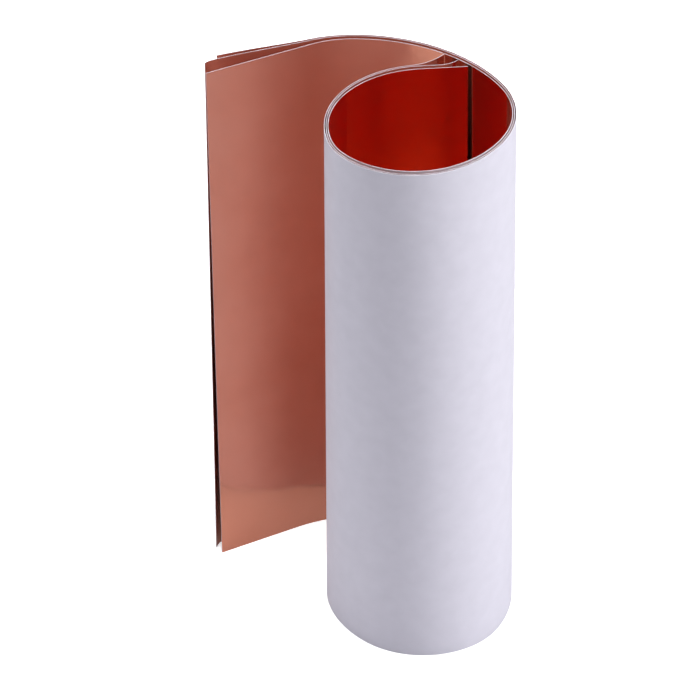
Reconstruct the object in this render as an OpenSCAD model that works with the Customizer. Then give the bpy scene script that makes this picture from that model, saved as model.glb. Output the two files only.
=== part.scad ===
// Three sheets of adhesive-backed copper foil, nested and loosely rolled together.
// The roll stands on its cut edges, and the sheets' long free ends leave it behind as a tail.
// Each sheet is copper foil, an adhesive coat and a paper release liner, with the copper inside.
// Seen from above, the sheets run counter-clockwise from their inner ends to the tail's ends.

/* [Sheets] */
// Height of a sheet as it stands, its shorter side
sheet_h = 203.2; // [150:0.1:305]
// Length of a sheet before it is rolled, its longer side
sheet_l = 304.8; // [250:0.1:400]
// Thickness of the copper foil
foil_t = 0.1; // [0.06:0.01:0.15]
// Thickness of the adhesive coat
adhesive_t = 0.05; // [0.03:0.01:0.08]
// Thickness of the paper release liner
liner_t = 0.2; // [0.12:0.01:0.3]

/* [Roll] */
// Radius of the roll, to the innermost copper
roll_r = 33; // [26:0.5:42]
// Radius of the wide bend where the sheets leave the roll, before the straight tail
tail_bend_r = 58; // [45:1:75]
// Radius of the tail's belly, where it turns back towards the left
tail_belly_r = 32; // [24:1:42]
// Free space from one sheet to the next at the roll's left and right sides
side_gap = 0.3; // [0.2:0.05:0.8]
// Free space from one sheet to the next at the roll's front and back
front_gap = 0.92; // [0.5:0.02:1.6]

/* [Inner ends] */
// Space from the innermost sheet's inner end to the tail in front of it
tip_gap = 2.8; // [1:0.1:5]
// How far the middle sheet's inner end lies behind the innermost one's
middle_setback = 1.8; // [0:0.1:4]
// How far the outermost sheet's inner end lies behind the innermost one's
outer_setback = 6.4; // [5:0.1:12]
// Length of the middle sheet's inner end that curls out to the tail
middle_hook_l = 6; // [4:0.5:12]
// Length of the outermost sheet's inner end that curls out to the tail
outer_hook_l = 12; // [8:0.5:20]
// Clearance where a curled inner end rests on the tail
touch_gap = 0.3; // [0.2:0.05:0.6]

/* [Tail ends] */
// Length of the tail over which the sheets spread apart
splay_l = 55; // [40:1:70]
// Extra space from the innermost to the middle sheet at the tail's end
middle_splay = 5; // [0:0.1:8]
// Extra space from the middle to the outermost sheet at the tail's end
outer_splay = 1.4; // [0:0.1:4]

/* [Flex line] */
// Clearance across the line where the tail flexes away from the roll
flex_gap = 0.3; // [0.2:0.05:0.6]

/* [Hidden] */

// The sheets, from the inside of the nest outwards
INNER = 0;
MIDDLE = 1;
OUTER = 2;

// Depths of a layer's two faces below the sheet's bare copper face
laminate_t = foil_t + adhesive_t + liner_t;
FOIL = [0, foil_t];
ADHESIVE = [foil_t, foil_t + adhesive_t];
LINER = [foil_t + adhesive_t, laminate_t];

// The bare copper face of the innermost sheet is the path that all the others follow.
// Its turn is a chain of tangent arcs, each a radius and the angle that it turns through.
// The roll is slightly oval: tight at the front left, slack at the right.
ROLL_ARCS = [
    [1.06 * roll_r, 100],   // back left and left side
    [0.61 * roll_r, 24],    // front left
    [0.94 * roll_r, 80],    // front and front right
    [1.18 * roll_r, 40],    // right side
    [roll_r, 50],           // back right, up to the flex line
];
TAIL_ARCS = [
    [tail_bend_r, 62],
    [tail_belly_r, 26],
];
ARCS = concat(ROLL_ARCS, TAIL_ARCS);
inner_heading = 185.3;      // direction of the path where its first arc starts
step = 4;                   // spacing of the stations along the path
end_step = 2;               // closer spacing near the inner ends
end_step_l = 8;             // distance along the path up to which the spacing is closer
least_step = 0.5;           // a shared station nearer than this to a part's end is left out
grid_from = -30;            // the shared stations reach past the longest sheet at both ends
grid_to = 600;
tail_line_before = 20;      // the line that the inner ends are measured to starts before the flex line
tail_line_after = 80;       // and ends this far after it
no_hit = 1e9;               // a distance that stands for no crossing
least_cross = 1e-9;         // two directions whose cross product is smaller count as parallel

function clamp(v) = max(0, min(1, v));
function smooth(u) = u * u * (3 - 2 * u);

// A station on the path is [x, y, heading, distance along the path].
function ahead(st, l) = [st.x + l * cos(st[2]), st.y + l * sin(st[2]), st[2], st[3] + l];
function around(st, r, turn) =
    let (h = st[2])
    [st.x + r * (sin(h + turn) - sin(h)), st.y + r * (cos(h) - cos(h + turn)),
     h + turn, st[3] + r * turn * PI / 180];

// Stations at the start of each arc and at the end of the last one
ARC_STARTS = [
    for (i = 0, st = [0, 0, inner_heading, 0];
         i <= len(ARCS);
         st = i < len(ARCS) ? around(st, ARCS[i][0], ARCS[i][1]) : st, i = i + 1) st
];
flex_at = ARC_STARTS[len(ROLL_ARCS)][3];

// The station at a distance s along the path, which is straight before and after its arcs
function station(s, i = 0) =
    s <= 0 ? ahead(ARC_STARTS[0], s)
    : i == len(ARCS) ? ahead(ARC_STARTS[i], s - ARC_STARTS[i][3])
    : s > ARC_STARTS[i + 1][3] ? station(s, i + 1)
    : let (l = s - ARC_STARTS[i][3]) around(ARC_STARTS[i], ARCS[i][0], l / ARCS[i][0] * 180 / PI);

// The point at a depth d on the outer side of a station
function beside(st, d) = [st.x + d * sin(st[2]), st.y - d * cos(st[2])];

// Distance from a point p, in the direction of the unit vector u, to the tail's copper face
TAIL_LINE = [for (s = [flex_at - tail_line_before : end_step : flex_at + tail_line_after]) station(s)];
function cross2(a, b) = a.x * b.y - a.y * b.x;
function hit(p, u, a, b) =
    let (e = [b.x - a.x, b.y - a.y], w = [a.x - p.x, a.y - p.y], k = cross2(u, e))
    abs(k) < least_cross ? no_hit
    : let (t = cross2(w, e) / k, v = cross2(w, u) / k) (t > 0 && v >= 0 && v <= 1) ? t : no_hit;
function room(p, u) = min([for (i = [0 : len(TAIL_LINE) - 2]) hit(p, u, TAIL_LINE[i], TAIL_LINE[i + 1])]);

// The inner ends: the innermost one is straight and stops short of the tail in front of it.
inner_end_l = room(ARC_STARTS[0], -[cos(inner_heading), sin(inner_heading)]) - tip_gap;
START = [-inner_end_l, -inner_end_l + middle_setback, -inner_end_l + outer_setback];
HOOK_L = [1, middle_hook_l, outer_hook_l];  // the innermost one does not curl, so its length is unused

// Depth of a sheet's copper face from the path where the sheets just lie round each other
function nest(sheet, st) =
    sheet * (laminate_t + side_gap + (front_gap - side_gap) * pow(cos(st[2]), 2));

// How far the very end of an inner end curls out, so that its liner rests on the tail
function hook_depth(sheet) =
    let (st = station(START[sheet]), u = beside([0, 0, st[2]], 1))
    sheet == INNER ? 0 : room([st.x, st.y], u) - touch_gap - laminate_t - nest(sheet, st);
HOOK = [for (sheet = [INNER : OUTER]) hook_depth(sheet)];
SPLAY = [0, middle_splay, middle_splay + outer_splay];

// Distance along the path where the innermost sheet ends: its middle is laminate_t / 2 outside
// the path, and its turn makes it longer by that times the angle it turns through.
total_turn = ARC_STARTS[len(ARCS)][2] - inner_heading;
inner_sheet_end = START[INNER] + sheet_l - laminate_t / 2 * total_turn * PI / 180;

// Depth of a sheet's copper face from the path, with its curled and splayed ends
function depth(sheet, s) =
    nest(sheet, station(s))
    + HOOK[sheet] * pow(clamp(1 - (s - START[sheet]) / HOOK_L[sheet]), 2)
    + SPLAY[sheet] * smooth(clamp(1 - (inner_sheet_end - s) / splay_l));

function face_point(sheet, s, d) = beside(station(s), depth(sheet, s) + d);

// Stations that all the sheets share, so that their facets run parallel, with a part's own two ends
GRID = concat(
    [for (s = [grid_from : end_step : end_step_l]) s],
    [for (s = [end_step_l + step : step : grid_to]) s]);
function stations_from(from, to) =
    concat([from], [for (s = GRID) if (s > from + least_step && s < to - least_step) s], [to]);

// Every sheet has the same length, so the outer ones end sooner: each is measured along its middle.
function end_of(sheet) =
    let (at = stations_from(START[sheet], inner_sheet_end + step),
         p = [for (s = at) face_point(sheet, s, laminate_t / 2)],
         run = [for (i = 0, t = 0; i < len(p); t = i + 1 < len(p) ? t + norm(p[i + 1] - p[i]) : t,
                     i = i + 1) t],
         i = max([for (j = [0 : len(run) - 2]) run[j] <= sheet_l ? j : 0]))
    at[i] + (sheet_l - run[i]) / (run[i + 1] - run[i]) * (at[i + 1] - at[i]);
END = [for (sheet = [INNER : OUTER]) end_of(sheet)];

// Where each part of a sheet starts and stops along the path
ROLL = [for (sheet = [INNER : OUTER]) stations_from(START[sheet], flex_at - flex_gap / 2)];
TAIL = [for (sheet = [INNER : OUTER]) stations_from(flex_at + flex_gap / 2, END[sheet])];

// The origin lies below the middle of the whole object's box.
ALL_POINTS = [
    for (sheet = [INNER : OUTER], s = concat(ROLL[sheet], TAIL[sheet]), d = [0, laminate_t])
        face_point(sheet, s, d)
];
X = [for (p = ALL_POINTS) p.x];
Y = [for (p = ALL_POINTS) p.y];
middle_of_plan = [(min(X) + max(X)) / 2, (min(Y) + max(Y)) / 2];

// One layer of one sheet, between two depths, standing on its edge
module strip(sheet, stations, layer) {
    inside = [for (s = stations) face_point(sheet, s, layer[0]) - middle_of_plan];
    outside = [for (i = [len(stations) - 1 : -1 : 0])
        face_point(sheet, stations[i], layer[1]) - middle_of_plan];
    linear_extrude(height = sheet_h) polygon(concat(inside, outside));
}

module foil(sheet, part) { color("#B9765F") strip(sheet, part[sheet], FOIL); }
module adhesive(sheet, part) { color("#E4D9C0") strip(sheet, part[sheet], ADHESIVE); }
module liner(sheet, part) { color("#EEEDF8") strip(sheet, part[sheet], LINER); }

module inner_roll_foil() { foil(INNER, ROLL); }
module inner_roll_adhesive() { adhesive(INNER, ROLL); }
module inner_roll_liner() { liner(INNER, ROLL); }
module inner_tail_foil() { foil(INNER, TAIL); }
module inner_tail_adhesive() { adhesive(INNER, TAIL); }
module inner_tail_liner() { liner(INNER, TAIL); }

module middle_roll_foil() { foil(MIDDLE, ROLL); }
module middle_roll_adhesive() { adhesive(MIDDLE, ROLL); }
module middle_roll_liner() { liner(MIDDLE, ROLL); }
module middle_tail_foil() { foil(MIDDLE, TAIL); }
module middle_tail_adhesive() { adhesive(MIDDLE, TAIL); }
module middle_tail_liner() { liner(MIDDLE, TAIL); }

module outer_roll_foil() { foil(OUTER, ROLL); }
module outer_roll_adhesive() { adhesive(OUTER, ROLL); }
module outer_roll_liner() { liner(OUTER, ROLL); }
module outer_tail_foil() { foil(OUTER, TAIL); }
module outer_tail_adhesive() { adhesive(OUTER, TAIL); }
module outer_tail_liner() { liner(OUTER, TAIL); }

inner_roll_foil();
inner_roll_adhesive();
inner_roll_liner();
inner_tail_foil();
inner_tail_adhesive();
inner_tail_liner();
middle_roll_foil();
middle_roll_adhesive();
middle_roll_liner();
middle_tail_foil();
middle_tail_adhesive();
middle_tail_liner();
outer_roll_foil();
outer_roll_adhesive();
outer_roll_liner();
outer_tail_foil();
outer_tail_adhesive();
outer_tail_liner();
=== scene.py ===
"""Copper foil sheets on release paper, nested and rolled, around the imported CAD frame.

Each layer of each sheet is cut flat at its real size, bent round a path at its top edge and
round another at its foot, and then split where the tail flexes away from the roll.
"""
import math

import bpy
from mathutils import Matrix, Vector


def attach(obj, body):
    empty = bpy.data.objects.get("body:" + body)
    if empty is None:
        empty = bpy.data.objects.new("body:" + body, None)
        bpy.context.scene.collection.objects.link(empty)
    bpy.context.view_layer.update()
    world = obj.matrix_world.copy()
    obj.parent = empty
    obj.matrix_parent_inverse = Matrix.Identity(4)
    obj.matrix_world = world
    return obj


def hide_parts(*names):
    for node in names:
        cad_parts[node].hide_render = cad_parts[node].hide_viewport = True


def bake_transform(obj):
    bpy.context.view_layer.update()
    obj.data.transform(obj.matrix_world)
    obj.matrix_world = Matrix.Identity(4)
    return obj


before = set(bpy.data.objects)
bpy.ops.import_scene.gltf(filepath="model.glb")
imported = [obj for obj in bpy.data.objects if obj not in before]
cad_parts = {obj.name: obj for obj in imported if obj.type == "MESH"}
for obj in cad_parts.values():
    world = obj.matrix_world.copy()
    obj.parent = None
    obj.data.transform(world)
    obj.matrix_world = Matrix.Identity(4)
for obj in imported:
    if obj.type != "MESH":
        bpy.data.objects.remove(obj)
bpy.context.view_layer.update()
bpy.ops.object.select_all(action="DESELECT")

MM = 0.001
scene = bpy.context.scene

# ---------------------------------------------------------------- sheets, in millimetres
SHEET_L = 304.8             # cut length of a sheet, its longer side
SHEET_H = 203.2             # cut height of a sheet, its shorter side
FOIL_T, ADHESIVE_T, LINER_T = 0.1, 0.05, 0.2
LAMINATE_T = FOIL_T + ADHESIVE_T + LINER_T
SHEETS = ("inner", "middle", "outer")
PLAN_SHIFT = (21.005, 22.083)       # from the path's own start to the row frame
STATION = 1.0                       # spacing of the path's points
COLUMN_W = 1.6                      # width of a column of faces along a sheet
ROWS = 26                           # rows of faces up a sheet
LEAD_IN = (16, 12, 8, 4)            # straight stations before the path's start, by distance
PATH_END = 330                      # distance at which the path stops, past every sheet's end
FINE_STEP, FINE_POINTS = 0.5, 40    # closer points at an inner end, where it curls out
POINT_GAP = 0.3                     # least gap between those points and the next station
FLEX_AT = 168.78                    # distance along the path where the tail flexes
SEAM_SETBACK = 6.0                  # the split lies this far before it, on the roll

# Top edge and foot: where the path starts, its heading there, and its tangent arcs, each a
# radius and an angle. Inner ends are distances along the path where the three sheets start,
# and each hook is how far such an end curls out to the tail. The roll is a little askew: its
# foot bulges to the front right, and the middle sheet has slid out at the foot of the tail.
TOP_EDGE = {
    "start": (0.0, 0.0), "heading": 185.3,
    "inner_ends": (-16.74, -13.74, -9.14), "hook": (0, 2.46, 5.705),
    "arcs": ((34.98, 100), (20.13, 24), (31.02, 80), (38.94, 40), (33.0, 50), (58, 62), (32, 25)),
}
FOOT = {
    "start": (0.26, 3.3), "heading": 179.6,
    "inner_ends": (-16.74, -10.24, -9.14), "hook": (0, 2.0, 4.85),
    "arcs": ((30.9, 102.3), (41, 35.5), (28.6, 72.2), (27.6, 35.5), (45.9, 49.8), (47.3, 64.5),
             (52.9, 31)),
}
# Depth of each sheet's copper face where the sheets lie round each other, at the roll's sides
# and at its front and back, where the middle sheet hugs the outer one
SIDE_DEPTH, FRONT_DEPTH = (0, 0.65, 1.3), (0, 1.83, 2.54)
END_SETBACK = (0, 4.75, 7.6)        # along the path, from the innermost sheet's outer end
HOOK_L = (1, 6, 12)                 # length of each inner end that curls out to the tail
SPLAY = (0, 5, 6.4)                 # how far the tail's ends have spread from the innermost
SPLAY_L = 55
END_CURL = (0, 2.0, 0)              # the middle sheet's outer end curls forwards again
END_CURL_L = 4.5
CURL_REACH = 1.3                    # the curl goes on this far past the end, as a share of it
TAIL_REACH = (-0.6, 3.6, -1.2)      # how much further than its cut length a sheet reaches


def clamp(v):
    """The value kept between 0 and 1."""
    return max(0.0, min(1.0, v))


def stations(edge):
    """Stations along an edge's path, each (x, y, heading in radians, distance)."""
    h = math.radians(edge["heading"])
    x, y = edge["start"]
    made = [(x - s * math.cos(h), y - s * math.sin(h), h, -s) for s in LEAD_IN]
    s = 0.0
    for r, turn in edge["arcs"]:
        turn = math.radians(turn)
        steps = max(2, round(r * turn / STATION))
        for i in range(steps):
            a = turn * i / steps
            made.append((x + r * (math.sin(h + a) - math.sin(h)),
                         y + r * (math.cos(h) - math.cos(h + a)), h + a, s + r * a))
        x += r * (math.sin(h + turn) - math.sin(h))
        y += r * (math.cos(h) - math.cos(h + turn))
        h += turn
        s += r * turn
    while s < PATH_END:
        made.append((x, y, h, s))
        x, y, s = x + STATION * math.cos(h), y + STATION * math.sin(h), s + STATION
    return made


def at(line, s):
    """The station at a distance s, between the two nearest made ones."""
    for a, b in zip(line, line[1:]):
        if b[3] >= s:
            k = (s - a[3]) / (b[3] - a[3])
            return tuple(p + (q - p) * k for p, q in zip(a, b))
    return line[-1]


def edge_line(edge, sheet):
    """Points along the middle of one sheet's edge, from its inner end outwards, in metres,
    with the length from the inner end to the split."""
    line = stations(edge)
    turned = math.radians(sum(turn for r, turn in edge["arcs"]))
    end = edge["inner_ends"][0] + SHEET_L - LAMINATE_T / 2 * turned
    outer_end = end - END_SETBACK[sheet] + TAIL_REACH[sheet]
    first = edge["inner_ends"][sheet]
    at_s = [first + FINE_STEP * i for i in range(FINE_POINTS)]
    at_s += [p[3] for p in line if p[3] > at_s[-1] + POINT_GAP]
    points, run, split = [], 0.0, None
    for s in at_s:
        x, y, h, _ = at(line, s)
        splay = clamp(1 - (end - s) / SPLAY_L)
        d = LAMINATE_T / 2 + SIDE_DEPTH[sheet]
        d += (FRONT_DEPTH[sheet] - SIDE_DEPTH[sheet]) * math.cos(h) ** 2
        d += edge["hook"][sheet] * clamp(1 - (s - first) / HOOK_L[sheet]) ** 2
        d += SPLAY[sheet] * splay * splay * (3 - 2 * splay)
        curl = min(CURL_REACH, max(0, 1 - (outer_end - s) / END_CURL_L))
        d -= END_CURL[sheet] * curl ** 2
        p = Vector(((x + d * math.sin(h) + PLAN_SHIFT[0]) * MM,
                    (y - d * math.cos(h) + PLAN_SHIFT[1]) * MM, 0))
        if points:
            run += (p - points[-1]).length
        points.append(p)
        if split is None and s >= FLEX_AT - SEAM_SETBACK:
            split = run
    return points, split


def guide(name, points):
    """A poly curve through the points, for a Curve modifier to bend a flat sheet round."""
    data = bpy.data.curves.new(name, "CURVE")
    data.dimensions = "3D"
    data.twist_mode = "Z_UP"
    spline = data.splines.new("POLY")
    spline.points.add(len(points) - 1)
    spline.points.foreach_set("co", [c for p in points for c in (*p, 1)])
    made = bpy.data.objects.new(name, data)
    scene.collection.objects.link(made)
    return made


def only(piece):
    """Makes a piece the one selected and active object."""
    bpy.ops.object.select_all(action="DESELECT")
    piece.select_set(True)
    bpy.context.view_layer.objects.active = piece


def flat_strip(name, first, last, near, far):
    """A flat strip of one layer, standing on its long edge. It runs from first to last along X.
    Its face lies at near, where positive Y is the copper side, and its thickness, the distance
    from near to far, grows from there towards the copper side. All in metres."""
    length, height = last - first, SHEET_H * MM
    bpy.ops.mesh.primitive_grid_add(x_subdivisions=max(2, round(length / MM / COLUMN_W)),
                                    y_subdivisions=ROWS, size=1, calc_uvs=True)
    piece = bpy.context.object
    piece.name = piece.data.name = name
    bpy.ops.object.mode_set(mode="EDIT")
    bpy.ops.mesh.select_all(action="SELECT")
    bpy.ops.transform.resize(value=(length, height, 1))
    bpy.ops.transform.rotate(value=-math.pi / 2, orient_axis="X", center_override=(0, 0, 0))
    bpy.ops.object.mode_set(mode="OBJECT")
    piece.location = ((first + last) / 2, near, height / 2)
    bpy.ops.object.transform_apply(location=True, rotation=True, scale=True)
    uv = piece.data.uv_layers.active.data
    for loop in piece.data.loops:
        co = piece.data.vertices[loop.vertex_index].co
        uv[loop.index].uv = (co.x, co.z)
    wall = piece.modifiers.new("thickness", "SOLIDIFY")
    wall.thickness = far - near
    wall.offset = 1
    bpy.ops.object.modifier_apply(modifier=wall.name)
    return piece


def bent(piece, curve):
    """The piece, bent round a guide curve from its start."""
    only(piece)
    bend = piece.modifiers.new("bend", "CURVE")
    bend.object = curve
    bend.deform_axis = "POS_X"
    bpy.ops.object.modifier_apply(modifier=bend.name)
    return piece


def rolled(piece, top_curve, foot_curve):
    """Bends one copy of a flat strip round the top path and one round the foot path, and mixes
    the two by height."""
    foot_copy = piece.copy()
    foot_copy.data = piece.data.copy()
    scene.collection.objects.link(foot_copy)
    low = piece.vertex_groups.new(name="towards_foot")
    for v in piece.data.vertices:
        low.add([v.index], clamp(1 - v.co.z / (SHEET_H * MM)), "REPLACE")
    bent(foot_copy, foot_curve)
    bent(piece, top_curve)
    foot_copy.select_set(True)
    bpy.ops.object.join_shapes()
    foot_shape = piece.data.shape_keys.key_blocks[-1]
    foot_shape.vertex_group = "towards_foot"
    foot_shape.value = 1
    piece.active_shape_key_index = 1
    foot_copy.select_set(False)
    bpy.ops.object.shape_key_remove(all=True, apply_mix=True)
    bpy.data.objects.remove(foot_copy)
    piece.vertex_groups.clear()
    bpy.ops.object.shade_smooth_by_angle(angle=math.radians(40))
    return piece


# ---------------------------------------------------------------- materials
def linear(hex_colour):
    """An sRGB hex value as linear RGBA."""
    made = []
    for i in (1, 3, 5):
        c = int(hex_colour[i:i + 2], 16) / 255
        made.append(c / 12.92 if c <= 0.04045 else ((c + 0.055) / 1.055) ** 2.4)
    return (*made, 1.0)


def add(material, kind, settings=(), links=()):
    """Adds a node: settings are (attribute or input, value), links are (input, node, output)."""
    node = material.node_tree.nodes.new(kind)
    for key, value in settings:
        if isinstance(key, str) and hasattr(node, key):
            setattr(node, key, value)
        else:
            node.inputs[key].default_value = value
    for key, source, output in links:
        material.node_tree.links.new(source.outputs[output], node.inputs[key])
    return node


def new_material(name):
    """An empty node material."""
    material = bpy.data.materials.new(name)
    material.use_nodes = True
    material.node_tree.nodes.clear()
    return material


def ramp(node, stops):
    """Sets a colour ramp's stops, each (position, linear colour)."""
    elements = node.color_ramp.elements
    while len(elements) < len(stops):
        elements.new(0.5)
    for element, (position, colour) in zip(elements, stops):
        element.position = position
        element.color = colour
    return node


# Rolled copper foil: thin soft metal, cold rolled bright between polished rolls. It mirrors
# softly, with faint streaks up the sheet, slow waves from handling and a few dull smudges. The
# coat is not a lacquer: it lifts the tone to that of handled foil.
COPPER = new_material("rolled_copper_foil")
place = add(COPPER, "ShaderNodeUVMap")
MM_SCALE = (1000, 1000, 1000)
in_mm = add(COPPER, "ShaderNodeMapping", [("Scale", MM_SCALE)], [("Vector", place, "UV")])
streak_place = add(COPPER, "ShaderNodeMapping", [("Scale", (0.35, 0.012, 1))],
                   [("Vector", in_mm, "Vector")])
streaks = add(COPPER, "ShaderNodeTexNoise", [("Scale", 1.0), ("Detail", 4.0)],
              [("Vector", streak_place, "Vector")])
smudges = add(COPPER, "ShaderNodeTexNoise", [("Scale", 1 / 28), ("Detail", 3.0)],
              [("Vector", in_mm, "Vector")])
waves = add(COPPER, "ShaderNodeTexNoise", [("Scale", 1 / 30), ("Detail", 2.0)],
            [("Vector", in_mm, "Vector")])
tone = ramp(add(COPPER, "ShaderNodeValToRGB", links=[("Fac", smudges, "Fac")]),
            [(0.3, linear("#F39A79")), (0.7, linear("#F8A383"))])
dull = add(COPPER, "ShaderNodeMapRange",
           [("From Min", 0.3), ("From Max", 0.75), ("To Min", 0.09), ("To Max", 0.17)],
           [("Value", smudges, "Fac")])
wave_bump = add(COPPER, "ShaderNodeBump", [("Strength", 0.5), ("Distance", 0.0004)],
                [("Height", waves, "Fac")])
streak_bump = add(COPPER, "ShaderNodeBump", [("Strength", 0.08), ("Distance", 0.00005)],
                  [("Height", streaks, "Fac"), ("Normal", wave_bump, "Normal")])
copper_shader = add(COPPER, "ShaderNodeBsdfPrincipled",
                    [("Metallic", 1.0), ("Coat Weight", 1.0), ("Coat Roughness", 0.25),
                     ("Coat IOR", 1.6)],
                    [("Base Color", tone, "Color"), ("Roughness", dull, "Result"),
                     ("Normal", streak_bump, "Normal")])
add(COPPER, "ShaderNodeOutputMaterial", links=[("Surface", copper_shader, "BSDF")])

# Acrylic adhesive coat: a clear sticky film, rolled on wet, seen only as a warm line at edges.
ADHESIVE = new_material("acrylic_adhesive_coat")
place = add(ADHESIVE, "ShaderNodeUVMap")
in_mm = add(ADHESIVE, "ShaderNodeMapping", [("Scale", MM_SCALE)], [("Vector", place, "UV")])
film = add(ADHESIVE, "ShaderNodeTexNoise", [("Scale", 1 / 3), ("Detail", 2.0)],
           [("Vector", in_mm, "Vector")])
tone = ramp(add(ADHESIVE, "ShaderNodeValToRGB", links=[("Fac", film, "Fac")]),
            [(0.35, linear("#DCCDB4")), (0.65, linear("#E8DCC6"))])
film_bump = add(ADHESIVE, "ShaderNodeBump", [("Strength", 0.3), ("Distance", 0.00002)],
                [("Height", film, "Fac")])
adhesive_shader = add(ADHESIVE, "ShaderNodeBsdfPrincipled",
                      [("Roughness", 0.35), ("IOR", 1.47)],
                      [("Base Color", tone, "Color"), ("Normal", film_bump, "Normal")])
add(ADHESIVE, "ShaderNodeOutputMaterial", links=[("Surface", adhesive_shader, "BSDF")])

# Release paper: bleached, calendered paper with a siliconised face. Its back is smooth and
# satin, with fine fibres and a slight cloudiness where the pulp lies thicker.
PAPER = new_material("calendered_release_paper")
place = add(PAPER, "ShaderNodeUVMap")
in_mm = add(PAPER, "ShaderNodeMapping", [("Scale", MM_SCALE)], [("Vector", place, "UV")])
fibres = add(PAPER, "ShaderNodeTexNoise", [("Scale", 1 / 0.7), ("Detail", 5.0)],
             [("Vector", in_mm, "Vector")])
cloud = add(PAPER, "ShaderNodeTexNoise", [("Scale", 1 / 6), ("Detail", 3.0)],
            [("Vector", in_mm, "Vector")])
tone = ramp(add(PAPER, "ShaderNodeValToRGB", links=[("Fac", cloud, "Fac")]),
            [(0.3, linear("#ECE9F5")), (0.7, linear("#F0EDF9"))])
satin = add(PAPER, "ShaderNodeMapRange",
            [("From Min", 0.3), ("From Max", 0.7), ("To Min", 0.5), ("To Max", 0.62)],
            [("Value", fibres, "Fac")])
fibre_bump = add(PAPER, "ShaderNodeBump", [("Strength", 0.12), ("Distance", 0.00003)],
                 [("Height", fibres, "Fac")])
paper_shader = add(PAPER, "ShaderNodeBsdfPrincipled",
                   [("IOR", 1.45), ("Specular IOR Level", 0.35)],
                   [("Base Color", tone, "Color"), ("Roughness", satin, "Result"),
                    ("Normal", fibre_bump, "Normal")])
add(PAPER, "ShaderNodeOutputMaterial", links=[("Surface", paper_shader, "BSDF")])

# ---------------------------------------------------------------- the pieces
# A layer's name, its material and record slot, and two depths from the sheet's middle in mm,
# where positive is towards the copper side: its near face, and the face that it should reach.
# Known fault: flat_strip grows the thickness the other way, so the liner runs 0.05 into the foil.
LAYERS = (
    ("foil", COPPER, "copper_foil", LAMINATE_T / 2, LAMINATE_T / 2 - FOIL_T),
    ("adhesive", ADHESIVE, "adhesive", LAMINATE_T / 2 - FOIL_T, LINER_T - LAMINATE_T / 2),
    ("liner", PAPER, "release_liner", LINER_T - LAMINATE_T / 2, -LAMINATE_T / 2),
)

for index, sheet in enumerate(SHEETS):
    top_points, top_split = edge_line(TOP_EDGE, index)
    foot_points, _ = edge_line(FOOT, index)
    top_curve = guide("top_path", top_points)
    foot_curve = guide("foot_path", foot_points)
    tail_end = (SHEET_L + TAIL_REACH[index]) * MM
    for part, first, last in (("roll", 0, top_split), ("tail", top_split, tail_end)):
        for layer, material, slot, near, far in LAYERS:
            piece = flat_strip(f"{sheet}_{part}_{layer}_sheet", first, last, near * MM, far * MM)
            piece.data.materials.append(material)
            rolled(piece, top_curve, foot_curve)
            if part == "roll":
                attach(piece, f"{sheet}_roll")
            else:
                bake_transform(piece)
            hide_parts(f"{sheet}_{part}_{layer}")
    bpy.data.objects.remove(top_curve)
    bpy.data.objects.remove(foot_curve)

# ---------------------------------------------------------------- stage, light and camera
AIM = Vector((-6.64, 0, 104)) * MM
ELEVATION = math.radians(34.88)
DISTANCE = 6.59
GROUND_SIZE = 60
FLOOR_Z, BENCH_Z = -0.0001, -0.0002
view_back = Vector((0, -math.cos(ELEVATION), math.sin(ELEVATION)))
camera_data = bpy.data.cameras.new("camera")
camera_data.lens = 1000
camera_data.sensor_width = 36
camera_data.clip_end = 100
camera = bpy.data.objects.new("camera", camera_data)
scene.collection.objects.link(camera)
camera.location = AIM + view_back * DISTANCE
camera.rotation_euler = (math.pi / 2 - ELEVATION, 0, 0)
scene.camera = camera

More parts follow.
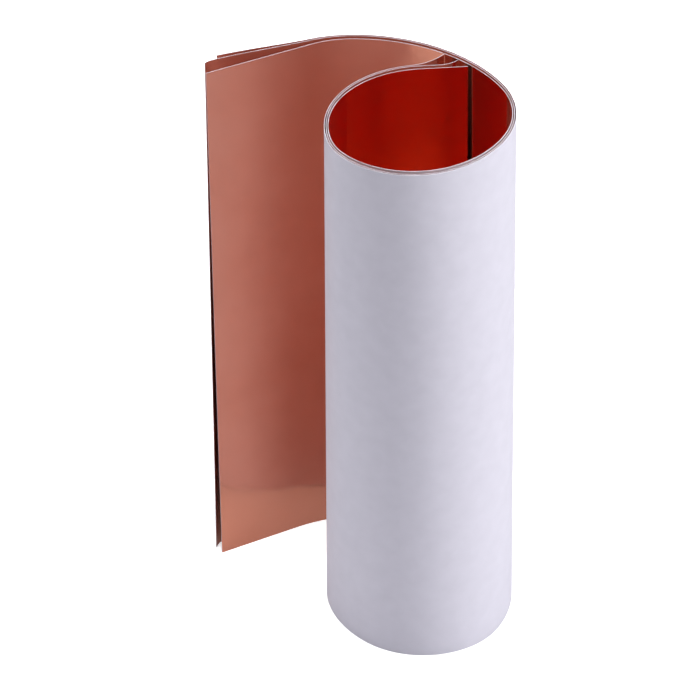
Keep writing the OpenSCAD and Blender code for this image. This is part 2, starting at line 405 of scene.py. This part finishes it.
WHITE_FLOOR = new_material("white_floor")
floor_shader = add(WHITE_FLOOR, "ShaderNodeBsdfPrincipled",
                   [("Base Color", linear("#F4F4F6")), ("Roughness", 0.9),
                    ("Emission Color", linear("#FFFFFF")), ("Emission Strength", 0.5)])
add(WHITE_FLOOR, "ShaderNodeOutputMaterial", links=[("Surface", floor_shader, "BSDF")])
BENCH_PAPER = new_material("bench_paper")
bench_shader = add(BENCH_PAPER, "ShaderNodeBsdfPrincipled",
                   [("Base Color", linear("#B6B6B9")), ("Roughness", 0.9)])
add(BENCH_PAPER, "ShaderNodeOutputMaterial", links=[("Surface", bench_shader, "BSDF")])


def ground(name, material, height):
    """A wide flat plane under the object, which isn't part of it."""
    bpy.ops.mesh.primitive_plane_add(size=GROUND_SIZE, location=(0, 0, height))
    made = bpy.context.object
    made.name = name
    made.data.materials.append(material)
    return made


# The floor is what the camera sees, and the bench paper below it is what lights and reflects in
# the sheets
floor = ground("floor", WHITE_FLOOR, FLOOR_Z)
floor.visible_diffuse = floor.visible_glossy = floor.visible_shadow = False
bench = ground("bench", BENCH_PAPER, BENCH_Z)
bench.visible_camera = bench.visible_shadow = False


def soft_box(name, azimuth, elevation, distance, size, power, colour="#FFFFFF"):
    """An area light that faces the object. Azimuth 0 is the camera's side, 90 the right."""
    a, e = math.radians(azimuth), math.radians(elevation)
    data = bpy.data.lights.new(name, "AREA")
    data.shape = "RECTANGLE"
    data.size, data.size_y = size
    data.energy = power
    data.color = linear(colour)[:3]
    made = bpy.data.objects.new(name, data)
    scene.collection.objects.link(made)
    away = Vector((math.sin(a) * math.cos(e), -math.cos(a) * math.cos(e), math.sin(e)))
    made.location = AIM + away * distance
    made.rotation_euler = (-away).to_track_quat("-Z", "Y").to_euler()
    return made


soft_box("right_softbox", 78, 25, 1.6, (0.9, 1.2), 15)
soft_box("left_softbox", -100, 20, 1.8, (0.8, 1.2), 6)
soft_box("overhead_softbox", 0, 89, 1.8, (0.6, 0.6), 40)

world = bpy.data.worlds.new("studio")
world.use_nodes = True
world.node_tree.nodes["Background"].inputs["Color"].default_value = linear("#F6F6FF")
world.node_tree.nodes["Background"].inputs["Strength"].default_value = 0.2
scene.world = world
scene.view_settings.view_transform = "Standard"
scene.view_settings.look = "None"
scene.cycles.max_bounces = 28
scene.cycles.glossy_bounces = 24
scene.cycles.diffuse_bounces = 4
scene.cycles.sample_clamp_indirect = 8
